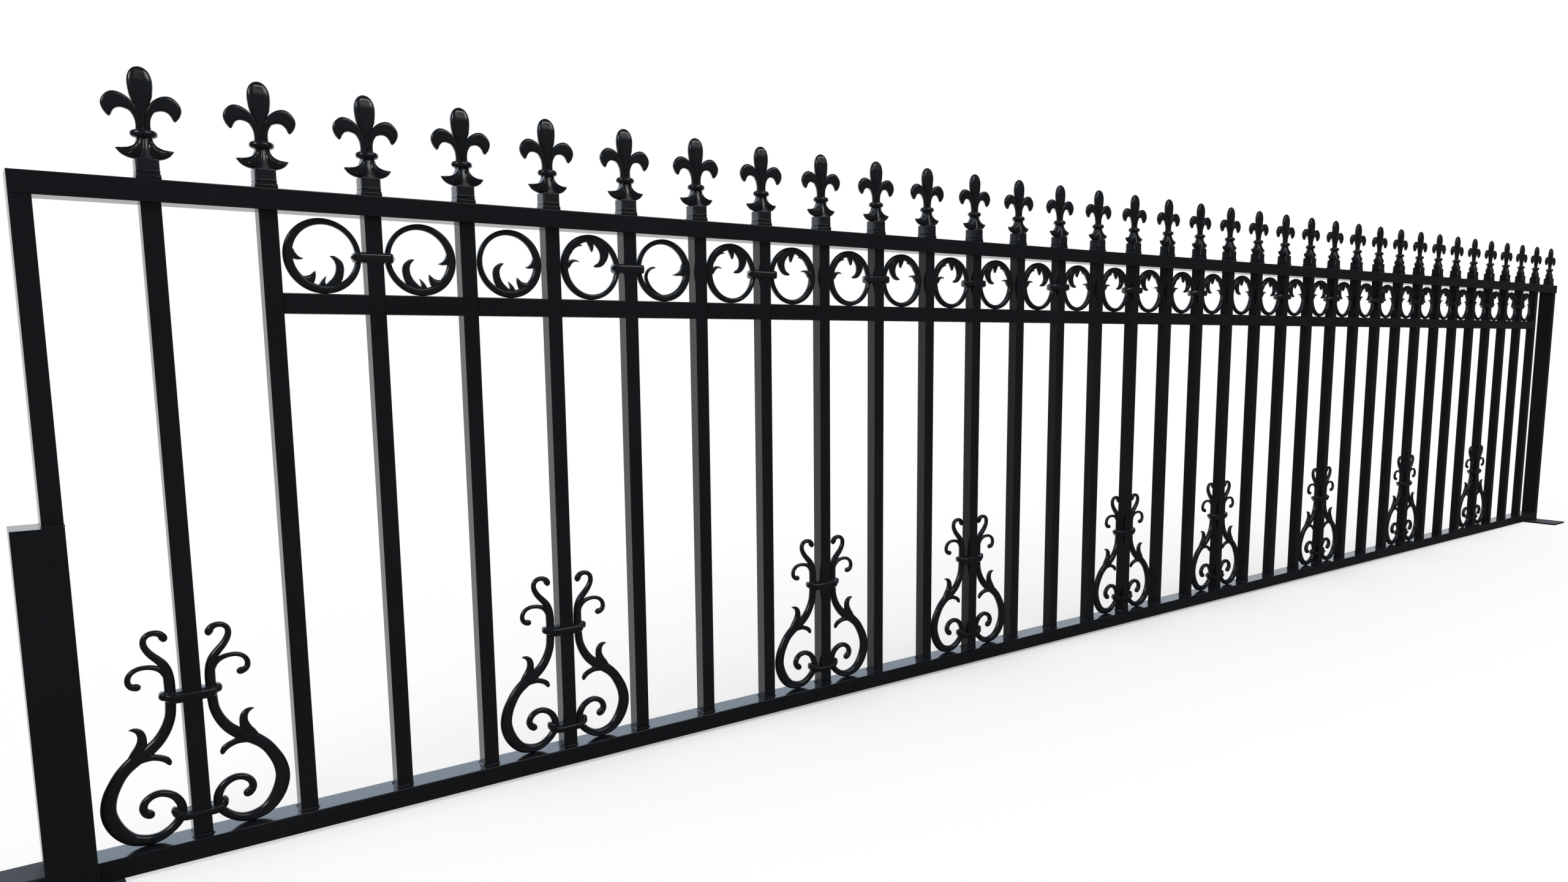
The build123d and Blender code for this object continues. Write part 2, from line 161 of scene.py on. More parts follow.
def smooth_line(points, count):
    """Curve through the points: on each span a cubic whose slope at a point is that of the chord between its
    neighbours."""
    p = np.asarray(points, float)
    p = np.vstack([2 * p[0] - p[1], p, 2 * p[-1] - p[-2]])
    knot = knots(p)
    slope = (p[2:] - p[:-2]) / (knot[2:] - knot[:-2])[:, None]
    u = np.linspace(knot[1], knot[-2], count)
    i = np.clip(np.searchsorted(knot, u, side="right") - 1, 1, len(p) - 3)
    h = (knot[i + 1] - knot[i])[:, None]
    s = (u - knot[i])[:, None] / h
    return ((2 * s**3 - 3 * s**2 + 1) * p[i] + (s**3 - 2 * s**2 + s) * h * slope[i - 1]
            + (3 * s**2 - 2 * s**3) * p[i + 1] + (s**3 - s**2) * h * slope[i])


def grid_quads(rows, around, loop=False):
    """Quads of a tube with this many rings; an open tube gets a strip of quads across each end."""
    ring = np.arange(around)
    row = np.arange(rows if loop else rows - 1)[:, None]
    here, after = row * around, (row + 1) % rows * around
    step = (ring + 1) % around
    wall = np.stack([here + ring, here + step, after + step, after + ring], axis=-1).reshape(-1, 4)
    if loop:
        return wall
    j = np.arange(around // 2 - 1)
    cap = np.stack([j, around - 1 - j, around - 2 - j, j + 1], axis=-1)
    return np.vstack([wall, cap, cap[:, ::-1] + (rows - 1) * around])


def outward(shape):
    """Turn the quads over if the volume they enclose comes out negative."""
    verts, quads = shape
    a, b, c, d = (verts[quads[:, k]] for k in range(4))
    volume = np.einsum("ij,ij->", a, np.cross(b, c)) + np.einsum("ij,ij->", a, np.cross(c, d))
    return (verts, quads if volume > 0 else quads[:, ::-1])


def skin(left, right, depth, around=16, channel=0.0, squareness=0.8, loop=False):
    """Closed shell between two edge lines in the XZ plane: each ring is an oval as wide as the gap between
    the lines and as deep as given, with its faces hollowed by a share of the depth where channel asks it."""
    angle = (np.arange(around) + 0.5) * 2 * np.pi / around
    across = np.sign(np.cos(angle)) * np.abs(np.cos(angle)) ** squareness
    deep = np.sign(np.sin(angle)) * np.abs(np.sin(angle)) ** squareness
    deep = deep * (1 - channel * (1 - np.abs(across)) ** 1.2)
    middle, half = (left + right) / 2, (right - left) / 2
    flat = middle[:, None, :] + across[None, :, None] * half[:, None, :]
    y = np.broadcast_to(depth, len(left))[:, None] * deep[None, :]
    verts = np.stack([flat[..., 0], y, flat[..., 1]], axis=-1).reshape(-1, 3)
    return outward((verts, grid_quads(len(left), around, loop)))


SMALLEST_END = 0.012


def rounding(count, start, stop):
    """Multiplier along a line that follows a quarter circle up over its first share and down over its last:
    the root of 1 - (1 - distance / share) squared."""
    t = np.linspace(0, 1, count)
    rise = np.ones(count)
    for share, distance in ((start, t), (stop, 1 - t)):
        if share > 0:
            rise *= np.sqrt(np.clip(1 - (1 - np.minimum(distance / share, 1)) ** 2, SMALLEST_END, 1))
    return rise


def leaf(inner, outer, depth, count, stop, **section):
    """Cast leaf between two edge lines given by a few points each, rounded off at its end."""
    a, b = smooth_line(inner, count), smooth_line(outer, count)
    rise = rounding(count, 0.0, stop)[:, None]
    middle, half = (a + b) / 2, (b - a) / 2 * rise
    thick = np.interp(np.linspace(0, 1, count), np.linspace(0, 1, len(depth)), depth)
    return skin(middle - half, middle + half, thick * np.sqrt(rise[:, 0]), **section)


def bar(points, widths, depth, count, start=0.0, stop=0.0, **section):
    """Cast bar along a smooth line through the points: its width is given at each point, or evenly along the
    line, and its depth evenly along it."""
    line = smooth_line(points, count)
    knot = knots(np.asarray(points, float))
    heading = np.gradient(line, axis=0)
    normal = np.column_stack([-heading[:, 1], heading[:, 0]]) / np.linalg.norm(heading, axis=1)[:, None]
    t = np.linspace(0, 1, count)
    rise = rounding(count, start, stop)
    at = knot / knot[-1] if len(widths) == len(points) else np.linspace(0, 1, len(widths))
    half = np.interp(t, at, widths) / 2 * rise
    thick = np.interp(t, np.linspace(0, 1, len(depth)), depth) * rise
    return skin(line + normal * half[:, None], line - normal * half[:, None], thick, **section)


def stack(levels, half_x, half_y, corner=1.0, around=36):
    """Turned or boxed form: rings at the levels, each an oval whose corners square up as corner falls."""
    angle = (np.arange(around) + 0.5) * 2 * np.pi / around
    x = np.sign(np.cos(angle)) * np.abs(np.cos(angle)) ** corner
    y = np.sign(np.sin(angle)) * np.abs(np.sin(angle)) ** corner
    levels, half_x, half_y = (np.asarray(v, float) for v in (levels, half_x, half_y))
    rings = [half_x[:, None] * x, half_y[:, None] * y, np.broadcast_to(levels[:, None], (len(levels), around))]
    return outward((np.stack(rings, axis=-1).reshape(-1, 3), grid_quads(len(levels), around)))


def moved(shape, x=0.0, y=0.0, z=0.0):
    """The shape pushed along, in millimetres."""
    return (shape[0] + np.array([x, y, z]), shape[1])


def flipped(shape, x=False, z=False):
    """Mirror image across the picket's axis, the level line, or both, with its faces still outward."""
    verts = shape[0] * np.array([-1 if x else 1, 1, -1 if z else 1])
    return (verts, shape[1][:, ::-1] if x != z else shape[1])


def gathered(shapes):
    """One shape from many."""
    starts = np.cumsum([0] + [len(verts) for verts, quads in shapes[:-1]])
    return (np.vstack([verts for verts, quads in shapes]),
            np.vstack([quads + start for (verts, quads), start in zip(shapes, starts)]))


SHARP_ANGLE = math.radians(42)


def make_piece(name, shape, material, node):
    """Make the object for a shape in millimetres, smooth except where faces meet at a sharp angle."""
    verts, quads = shape
    mesh = bpy.data.meshes.new(name)
    mesh.vertices.add(len(verts))
    mesh.vertices.foreach_set("co", (verts * MM).ravel())
    mesh.loops.add(quads.size)
    mesh.loops.foreach_set("vertex_index", quads.ravel().astype(np.int32))
    mesh.polygons.add(len(quads))
    mesh.polygons.foreach_set("loop_start", np.arange(0, quads.size, 4, dtype=np.int32))
    mesh.update(calc_edges=True)
    mesh.validate()
    mesh.shade_smooth()
    mesh.set_sharp_from_angle(angle=SHARP_ANGLE)
    mesh.materials.append(material)
    piece = bpy.data.objects.new(name, mesh)
    bpy.context.scene.collection.objects.link(piece)
    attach(piece, "root")
    if node:
        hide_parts(node)


SOCKET_LEVELS = [0, 0.2, 0.7, 5.2, 5.8, 6.4, 7.4, 8.2, 8.9, 9.6, 10.4, 11.4, 12.0, 12.6, 26.4,
                 27.2, 28.2, 28.6]
SOCKET_HALVES = [15.2, 15.5, 15.6, 15.6, 15.5, 15.0, 15.3, 14.9, 14.1, 14.1, 14.9, 15.0, 14.5, 14.4, 14.4,
                 14.3, 13.7, 12.6]
PETAL_UNDER = [(9.2, 66), (8.8, 73), (9.6, 80), (11.8, 85.5), (15, 90), (21, 92.4), (26, 92.7), (30.5, 90.9),
               (34, 87), (35.8, 83), (37.4, 79.6)]
PETAL_OUTER = [(0, 66), (0.5, 76), (2.5, 86), (6, 95), (10, 101.5), (15, 106.8), (23, 111.7), (31, 113.4),
               (37, 112), (42.5, 107.5), (46.3, 101.5), (47.2, 95), (45, 88), (40.6, 81)]
BUD_EDGE = [(1.2, 70), (2.4, 80), (5.4, 91), (9.8, 101), (12.8, 108), (14.2, 115), (15.1, 125), (14.6, 133),
            (12.4, 139.8), (9, 144.4), (4.8, 147.2), (0.9, 148)]
HORN_OVER = [(5, 57), (8.6, 56), (10.2, 50), (13.4, 46), (19, 43.2), (26, 42), (31, 41.6), (35, 41.4)]
HORN_UNDER = [(1, 40), (3, 33), (7, 28.6), (13, 27.6), (18.5, 28.4), (24, 30.4), (29, 33.6), (34.2, 39.6)]
COLLAR_LEVELS = [55.4, 56.0, 57.3, 59.0, 61.0, 63.0, 64.7, 66.0, 66.6]
COLLAR_SHARE = np.array([0.52, 0.74, 0.90, 0.985, 1.0, 0.985, 0.90, 0.74, 0.52])
COLLAR_WIDE, COLLAR_DEEP = 16.4, 12.6
RIB_LEVELS = [28, 30, 34, 40, 47, 56]
RIB_WIDE, RIB_DEEP = [11.5, 9.6, 7.0, 4.8, 3.4, 2.6], [13.4, 12.8, 11.4, 9.4, 7.4, 6.0]
BUD_DEPTH_LEVELS, BUD_DEPTHS = [70, 90, 108, 130, 143, 148], [5.4, 6.4, 7.4, 7.2, 5.0, 1.4]
VEIN_WIDTHS, VEIN_DEPTHS = [2.6, 3.0, 3.0, 2.4, 1.4], [1.5, 1.7, 1.7, 1.3, 0.8]
VEIN_LINES = [[(4.4, 55), (5.4, 48), (8.4, 41), (13.6, 36.4), (20.5, 34.2)],
              [(7.6, 55.4), (9.2, 49), (12.8, 44.2), (19, 41.2), (26, 39.9), (30, 39.6)]]
VEIN_REACH = [[(4.4, 5.0), (5.4, 5.8), (8.4, 7.6), (13.6, 8.1), (20.5, 6.0)],
              [(7.6, 4.6), (12.8, 6.0), (19, 5.5), (26, 3.6), (30, 2.0)]]


def half_finial():
    """What stands on one side of a finial's middle: a petal, a horn and the veins that lie on its faces."""
    petal = leaf(PETAL_UNDER, PETAL_OUTER, [4.4, 5.0, 5.8, 6.0, 5.4, 3.6], count=40, stop=0.06, around=20,
                 channel=0.30, squareness=0.7)
    horn = leaf(HORN_OVER, HORN_UNDER, [5.5, 8.5, 9.5, 8.5, 6.5, 4.6, 3.0, 1.8], count=22, stop=0.10,
                around=16, channel=0.12, squareness=0.75)
    veins = []
    for line, reach in zip(VEIN_LINES, VEIN_REACH):
        across, depth = np.array(reach).T
        for side in (-1, 1):
            vein = bar(line, VEIN_WIDTHS, VEIN_DEPTHS, count=16, stop=0.2, around=8)
            vein[0][:, 1] += side * np.interp(vein[0][:, 0], across, depth)
            veins.append(vein)
    return gathered([petal, horn] + veins)


def whole_finial():
    """Socket, foot rib, collar, bud and both halves, foot on the origin."""
    edge = smooth_line(BUD_EDGE, 34)
    bud = skin(edge * np.array([-1, 1]), edge, np.interp(edge[:, 1], BUD_DEPTH_LEVELS, BUD_DEPTHS),
               around=22, channel=0.22, squareness=0.72)
    socket = stack(SOCKET_LEVELS, SOCKET_HALVES, SOCKET_HALVES, corner=0.22)
    rib = stack(RIB_LEVELS, RIB_WIDE, RIB_DEEP, corner=0.45, around=32)
    collar = stack(COLLAR_LEVELS, COLLAR_WIDE * COLLAR_SHARE, COLLAR_DEEP * COLLAR_SHARE)
    half = half_finial()
    return gathered([socket, rib, collar, bud, half, flipped(half, x=True)])


cast_paint = black_enamel("casting_enamel", black=0.0055, roughness=0.20, peel_depth=0.0008, dust=0.02)
finial_shape = whole_finial()
FINIALS_A_RUN = 5
for run, first in enumerate(range(1, RIGHT_STILE + 1, FINIALS_A_RUN), start=1):
    row = gathered([moved(finial_shape, x=picket_x(n), z=top_rail_top)
                    for n in range(first, first + FINIALS_A_RUN)])
    make_piece(f"fleur_de_lis_row_{run:02d}", row, cast_paint, f"finials_{run:02d}")


# Rings under the top rail
# Cast rings, one a bay between the ring rail and the top rail, thicker on the side away from their collar,
# with a curled leaf, two small leaves and a thorn inside. The first three hold their leaves at the bottom.
RING_RADIUS = 55.0
HOLE_RADIUS = 44.2
HOLE_SHIFT = (2.4, 1.4)
RING_DEPTH = 5.6
SEAT_GAP = 0.2


def hoop(side):
    """Ring whose hole is off its middle, so that the bar is thickest on the far side and at the bottom."""
    turn = np.linspace(0, 2 * np.pi, 88, endpoint=False)
    way = np.column_stack([np.cos(turn), np.sin(turn)])
    hole = way * HOLE_RADIUS + np.array([side * HOLE_SHIFT[0], HOLE_SHIFT[1]])
    return skin(way * RING_RADIUS, hole, RING_DEPTH, around=14, channel=0.16, squareness=0.72, loop=True)


def ring_leaf(inner, outer, count=20):
    """Flat cast leaf of a ring, a little thinner than the ring's bar, pointed at its end."""
    return leaf(inner, outer, [5.2, 5.2, 4.6, 3.0], count=count, stop=0.12, around=12, channel=0.16,
                squareness=0.7)


def low_ring():
    """Ring with its leaves at the bottom and its collar at the right."""
    curl = ring_leaf([(-3, -46), (6.5, -37), (12.5, -30.8), (16.5, -23.4), (18, -15), (16.5, -7.7),
                      (12.6, -2.4), (9.5, -0.6)],
                     [(12, -48), (21, -41), (26.5, -32.8), (29, -23.4), (29.5, -15), (27.5, -7.7), (22.5, -2.4),
                      (16.5, 1.0), (10.2, 1.2)], count=30)
    small = ring_leaf([(-9, -45), (-5.5, -38), (-1.2, -32.8), (3.2, -28.4)],
                      [(4, -45), (1.5, -38), (2.2, -33), (3.9, -28.6)])
    third = ring_leaf([(-46, -12), (-38.5, -22.4), (-32.5, -27.6), (-26.5, -29.4), (-19.5, -27.6),
                       (-14.5, -23.4), (-11.8, -21)],
                      [(-46, -20), (-38, -32), (-31, -39), (-22, -43), (-14.5, -39.5), (-11.4, -30.8),
                       (-11.0, -22)])
    thorn = ring_leaf([(-46, 16), (-40.5, 10), (-38.5, 5), (-34.5, -0.3), (-30.5, -3), (-26.5, -4.2)],
                      [(-48, -9), (-42.5, -5.4), (-38, -6.4), (-34, -6.8), (-30.5, -6.1), (-26.4, -4.9)])
    return gathered([hoop(1), curl, small, third, thorn])


def high_ring():
    """Ring with its leaves at the top and its collar at the right."""
    curl = ring_leaf([(-2, 46), (6.8, 41), (15.8, 31.5), (19.3, 24.2), (19.3, 15.8), (15.8, 9), (10.8, 5.8),
                      (6.6, 3)],
                     [(16, 48), (28, 39), (33.8, 30.5), (35.3, 22), (32.8, 14.7), (27.8, 7.4), (21.8, 2.2),
                      (13.8, 0.1), (6.4, 0.4)], count=30)
    small = ring_leaf([(-6, 45), (-3.2, 39.4), (0.8, 32), (3.4, 25.8)],
                      [(8, 45), (7.3, 38), (6.2, 31), (4.2, 25.9)])
    third = ring_leaf([(-44, 12), (-36.2, 20), (-31.2, 27.3), (-25.2, 32), (-19.2, 34.6), (-13, 35.4)],
                      [(-46, 18), (-39, 28), (-31, 36), (-24, 39.4), (-18, 38.4), (-12.8, 36)])
    thorn = ring_leaf([(-47, -8), (-39.2, -2), (-36.2, 3.2), (-31.2, 7.4), (-25.2, 8.8), (-20.4, 7.6)],
                      [(-46, 14), (-39.2, 11), (-33.2, 12.6), (-27.2, 12), (-23, 10.2), (-20.2, 8.2)])
    return gathered([flipped(hoop(1), z=True), curl, small, third, thorn])


def plain_ring():
    """Ring with one thin curl and a long thorn, its collar at the left."""
    curl = bar([(2, -48), (-16, -41), (-29, -30), (-36, -15), (-33, -3), (-24, 3.6), (-16, 4.4)],
               [5, 6.5, 6.5, 6, 5.5, 4.5, 2.5], [5, 4.6, 3.6, 2.4], count=34, stop=0.06, around=12)
    thorn = ring_leaf([(45, 22), (38, 12), (36, 4), (30, -2), (23, -5.5), (18, -7)],
                      [(48, -9), (41, -9), (35, -8.6), (29, -8.8), (23, -8.4), (18, -7.6)])
    return gathered([hoop(-1), curl, thorn])


RING_COLLARS = [3, 6, 8, 10, 12, 14, 16, 18, 21, 23, 25, 27, 29, 31, 33]
FIRST_RING, RINGS_A_RUN = 2, 4
LOW_RINGS, PLAIN_RING = (2, 3, 4), 6
RING_MIDDLE = ring_rail_top + SEAT_GAP + RING_RADIUS


def ring_of(bay):
    """The ring to the right of this picket, turned so that its curl lies beside its collar."""
    if bay == PLAIN_RING:
        return plain_ring()
    shape = low_ring() if bay in LOW_RINGS else high_ring()
    return shape if bay + 1 in RING_COLLARS else flipped(shape, x=True)


for run, first in enumerate(range(FIRST_RING, PICKETS, RINGS_A_RUN), start=1):
    row = gathered([moved(ring_of(bay), x=picket_x(bay + 0.5), z=RING_MIDDLE)
                    for bay in range(first, first + RINGS_A_RUN)])
    make_piece(f"leaf_rings_{run:02d}", row, cast_paint, f"rings_{run:02d}")


# Ring collars
# Small cast bands that clip round a picket and the bar of the ring on each side of it, with a pointed nub
# at both ends. They are pressed on cold and painted with the rest.
def both_ways(points):
    """The points with their mirror image across the picket's axis before them."""
    return [(-x, z) for x, z in reversed(points)] + points


def girdle(top, bottom, reaches, depths, squareness, count=72):
    """Band round a picket seen from the front: an upper and a lower edge, each given from the middle to the
    end and mirrored, and a depth that falls from the middle to the ends."""
    a, b = smooth_line(both_ways(top), count), smooth_line(both_ways(bottom), count)
    depth = np.interp(np.abs((a + b)[:, 0]) / 2, reaches, depths)
    return skin(a, b, depth, around=20, squareness=squareness)


def ring_collar():
    """Band with a pointed nub at each end, its middle at the origin."""
    top = [(3, 8.3), (20, 8.3), (25, 8.0), (28, 6.6), (30.2, 3.6), (32.6, 0.4)]
    bottom = [(x, -z) for x, z in top]
    return girdle(top, bottom, [22, 26, 29, 32.6], [14.8, 13.6, 8.0, 1.4], squareness=0.5)


collar_shape = ring_collar()
row = gathered([moved(collar_shape, x=picket_x(n), z=RING_MIDDLE) for n in RING_COLLARS])
make_piece("ring_collar_row", row, cast_paint, "ring_collars")


# Lyre scrolls
# Pairs of cast scrolls, mirror images, that stand on the bottom rail at every third or fourth picket. Each
# has a heavy belly, two thin curls at the top, one below, an outer leaf and a thorn at the fork.
LYRES = [1, 5, 9, 12, 16, 19, 23, 27, 31]
BELLY_LINE = [(68, 132), (78, 125), (87, 117.5), (95, 108.5), (102, 97), (107.8, 85), (111.2, 73.5),
              (112.6, 61.5), (111, 49.5), (106.5, 37), (100.2, 26.4), (92.5, 17.8), (83, 11.3), (68, 7.4),
              (54, 8.4), (43, 13.4), (33.6, 20.5), (26.6, 29), (23.4, 38), (23.3, 46.5), (26, 55), (31.5, 63.2),
              (40, 69.2), (50, 71.8), (60, 69.6), (67.8, 63.4), (71.0, 55), (68.6, 48), (63.4, 44.6),
              (57.2, 45.6)]
BELLY_WIDTHS = [19, 18.4, 17.4, 17.4, 18, 19, 19.6, 20.2, 21, 21, 20, 18.6, 17, 15, 13.4, 12.4, 12.4,
                12.4, 12.3, 12.3, 12, 11, 10.5, 10, 10, 10.4, 11, 12.2, 14, 13.6]
STEM_LINE = [(27.8, 290), (28.8, 296.4), (32.8, 302.4), (40, 304.8), (47.4, 303.4), (52.6, 298.2),
             (53.6, 290.4), (50.8, 282.4), (45.5, 274.4), (38, 266.2), (31.4, 258), (27.4, 247), (26, 233),
             (26, 216), (26.6, 198), (28.6, 181), (35, 164), (45, 149), (57, 138), (72, 127)]
STEM_WIDTHS = [11.2, 11.6, 9.6, 8.2, 8, 8, 8.8, 9.6, 10.4, 11.2, 11.8, 13.2, 14.4, 14.5, 14, 14, 15, 16,
               17, 15]
SIDE_CURL = [(26.4, 224), (28.4, 238), (32.6, 247.4), (38, 252.8), (45, 256), (53, 257.4), (62, 257),
             (70.4, 253.2), (75.4, 246.4), (76, 238.6), (72.6, 233.2), (66.4, 231.2), (60.6, 232.6)]
SIDE_WIDTHS = [8, 9, 8.8, 8.2, 7.4, 6.8, 6.8, 7, 7.6, 8, 9, 10.8, 10.6]
LEAF_INNER = [(66, 128), (61.4, 137), (59.6, 145), (59, 153), (59.8, 161), (63, 168), (69, 172.4),
              (75.4, 173.4), (80.4, 171.8)]
LEAF_OUTER = [(86, 128), (80.6, 138), (75, 146), (71.4, 154), (71, 161), (73.2, 166.4), (77, 169.6),
              (79.4, 170.6), (80.8, 171)]
THORN_OVER = [(66, 134), (57, 132.4), (48, 129.4), (40, 126.2), (33.6, 121.6), (30.8, 115), (32, 110)]
THORN_UNDER = [(72, 120), (63, 121.6), (55, 121.8), (47.4, 119.6), (41, 116), (37.2, 112), (34.4, 109.6)]


def scroll():
    """The right half of a lyre, heights from the top of the bottom rail. The curls swell to round ends."""
    section = {"around": 14, "squareness": 0.86}
    stem = bar(STEM_LINE, STEM_WIDTHS, [5.4, 4.4, 4.4, 5.4, 6.2, 6.4, 6.4, 6.2, 5.4], count=110,
               start=0.05, **section)
    belly = bar(BELLY_LINE, BELLY_WIDTHS, [5.4, 6.2, 6.4, 6.4, 6.2, 5.8, 5.4, 5.2, 6.0], count=160,
                start=0.02, stop=0.03, **section)
    side = bar(SIDE_CURL, SIDE_WIDTHS, [4.4, 4.4, 3.8, 3.8, 4.8], count=60, start=0.05, stop=0.07, **section)
    outer_leaf = leaf(LEAF_INNER, LEAF_OUTER, [5.0, 5.6, 5.0, 4.0, 2.6], count=30, stop=0.08, around=14,
                      channel=0.12, squareness=0.8)
    thorn = leaf(THORN_UNDER, THORN_OVER, [5.0, 5.2, 4.6, 3.8, 2.4], count=26, stop=0.10, around=14,
                 channel=0.12, squareness=0.8)
    return gathered([stem, belly, side, outer_leaf, thorn])


# Lyre collars
# Two cast bands hold each pair of scrolls to its picket, each with a rounded rib along its faces. The upper
# one ends in blunt knobs, the lower one in tips that turn up. They are driven on over the stems and welded.
def ribbed(band, rib_line, rib_widths, face):
    """A band with a rounded rib along its front and its back."""
    rib = bar(rib_line, rib_widths, [0.8, 2.4, 2.8, 2.8, 2.8, 2.4, 0.8], count=40, start=0.08, stop=0.08,
              around=12)
    return gathered([band, moved(rib, y=-face), moved(rib, y=face)])


def upper_collar():
    """Deep band, its ends cut away below to blunt knobs."""
    top = [(3, 217.8), (20, 217.6), (28, 217.2), (31.6, 217.2), (34.6, 218.8), (37.8, 218.2),
           (40.2, 215.2), (40.8, 211.8)]
    bottom = [(3, 200.2), (18, 200.2), (27, 200.8), (30.6, 203), (33.6, 205.6), (37, 206.6), (39.8, 208.4),
              (40.8, 211.2)]
    band = girdle(top, bottom, [24, 30, 34, 38, 40.8], [14.6, 12.5, 9.4, 7.6, 2.2], squareness=0.55)
    line = both_ways([(4, 211.4), (18, 211.4), (27, 211.8), (31, 212.4)])
    return ribbed(band, line, [5, 8, 8.6, 8.6, 8.6, 8, 5], 13.8)


def lower_collar():
    """Slimmer band whose ends turn up to round tips."""
    top = [(3, 39), (15, 39), (23, 39.6), (27, 42), (29.2, 45.4), (32.4, 47), (35.6, 45.6), (37.6, 41.4)]
    bottom = [(3, 25.6), (14, 25.6), (23, 26.2), (28.8, 28.2), (33, 31), (36, 35), (37.6, 40.4)]
    band = girdle(top, bottom, [20, 26, 30, 35, 37.6], [14.4, 12.4, 8.4, 6.6, 2.2], squareness=0.58)
    line = both_ways([(4, 34.4), (16, 34.6), (23, 35.6), (28, 38.2)])
    return ribbed(band, line, [4, 6.4, 7, 7, 7, 6.4, 4], 13.4)


half_lyre = scroll()
lyre_shape = gathered([half_lyre, flipped(half_lyre, x=True), upper_collar(), lower_collar()])
for order, number in enumerate(LYRES, start=1):
    shape = moved(lyre_shape, x=picket_x(number), z=bottom_rail_top + SEAT_GAP)
    make_piece(f"lyre_scrolls_{order:02d}", shape, cast_paint, f"lyre_{order:02d}")


# Weld beads
# Short MIG beads round the foot of each picket on the bottom rail, of both stiles and of the short post.
# They stand a millimetre or two proud, ripple where the torch paused and shine through the paint.
BEAD_RISE = 0.3
BEAD_WAVES = [(3, 0.28), (11, 0.22), (23, 0.18)]
THINNEST, THICKEST = 0.35, 1.6


def bead(half_x, half_y, level, size, seed):
    """Closed bead round a rectangle of these half sides, at a level and about as thick as the size says: its
    thickness is the size times one plus three sine waves of random phase."""
    count, around = 56, 6
    turn = (np.arange(count) + 0.5) * 2 * np.pi / count
    x = np.sign(np.cos(turn)) * np.abs(np.cos(turn)) ** 0.2 * half_x
    y = np.sign(np.sin(turn)) * np.abs(np.sin(turn)) ** 0.2 * half_y
    phases = np.random.default_rng(seed).uniform(0, 2 * np.pi, len(BEAD_WAVES))
    ripple = 1 + sum(swell * np.sin(waves * turn + phase) for (waves, swell), phase in zip(BEAD_WAVES, phases))
    ripple = size * np.clip(ripple, THINNEST, THICKEST)
    ring = np.linspace(0, 2 * np.pi, around, endpoint=False) + 0.3
    px = x[:, None] + np.cos(turn)[:, None] * ripple[:, None] * np.cos(ring)
    py = y[:, None] + np.sin(turn)[:, None] * ripple[:, None] * np.cos(ring)
    pz = level + BEAD_RISE + ripple[:, None] * np.sin(ring)
    return outward((np.stack([px, py, pz], axis=-1).reshape(-1, 3), grid_quads(count, around, loop=True)))


POST_FORWARD = 5.0
weld_paint = black_enamel("weld_enamel", black=0.007, roughness=0.12, peel_depth=0.0010, dust=0.08)
beads = [moved(bead(12.9, 12.9, bottom_rail_top, 1.5, n), x=picket_x(n)) for n in range(1, PICKETS + 1)]
make_piece("picket_foot_welds", gathered(beads), weld_paint, None)
stile_beads = [moved(bead(12.7, 25.2, post_high[2] / MM, 1.2, 60), x=picket_x(LEFT_STILE)),
               moved(bead(30.3, 30.3, post_low[2] / MM, 2.2, 61), y=-POST_FORWARD),
               moved(bead(12.9, 25.3, post_low[2] / MM, 2.0, 62), x=picket_x(RIGHT_STILE))]
make_piece("stile_and_post_welds", gathered(stile_beads), weld_paint, None)


# Studio
# A pale floor that fades into a white surround, an even white sky, and two soft boxes. What gloss paint
# mirrors is bright behind the fence and dark on the camera's side.
FLOOR_REACH = 90.0
FENCE_MIDDLE = 2.4
ALONG_SHARE = 0.45
FADE_FROM, FADE_TO = 0.3, 1.9


def studio_floor():
    """Flat sheet under the fence: matt white near it, plain white further off, and no mirror image."""
    mesh = bpy.data.meshes.new("studio_floor")
    corners = [(-FLOOR_REACH, -FLOOR_REACH, 0), (FLOOR_REACH, -FLOOR_REACH, 0),
               (FLOOR_REACH, FLOOR_REACH, 0), (-FLOOR_REACH, FLOOR_REACH, 0)]
    mesh.from_pydata(corners, [], [(0, 1, 2, 3)])
    material = bpy.data.materials.new("studio_white")
    material.use_nodes = True
    tree = material.node_tree
    tree.nodes.clear()
    start = Wire(tree)
    place = start.node("ShaderNodeTexCoord", {}, {}, out="Object")
    along = start.node("ShaderNodeSeparateXYZ", {}, {"Vector": place}, out="X")
    away = start.node("ShaderNodeSeparateXYZ", {}, {"Vector": place}, out="Y")
    spot = start.node("ShaderNodeCombineXYZ", {}, {"X": (along - FENCE_MIDDLE) * ALONG_SHARE, "Y": away})
    off = start.node("ShaderNodeVectorMath", {"operation": "LENGTH"}, {0: spot}, out="Value")
    far = start.node("ShaderNodeMapRange", {"interpolation_type": "SMOOTHSTEP"},
                     {"Value": off, "From Min": FADE_FROM, "From Max": FADE_TO, "To Min": 0.35,
                      "To Max": 1.0})
    seen = start.node("ShaderNodeLightPath", {}, {}, out="Is Camera Ray")
    matt = start.node("ShaderNodeBsdfDiffuse", {}, {"Color": (0.94, 0.94, 0.94, 1.0)})
    white = start.node("ShaderNodeEmission", {}, {"Color": (1, 1, 1, 1), "Strength": 1.0})
    ground = start.node("ShaderNodeMixShader", {}, {"Fac": far * seen, 1: matt, 2: white})
    start.node("ShaderNodeOutputMaterial", {}, {"Surface": ground})
    mesh.materials.append(material)
    floor = bpy.data.objects.new("studio_floor", mesh)
    bpy.context.scene.collection.objects.link(floor)
    floor.visible_glossy = False


DARK_SIDE, BRIGHT_SIDE, MATT_SKY = 0.035, 0.65, 0.95
HIGH_BLUE = (0.69, 0.83, 1.0, 1.0)


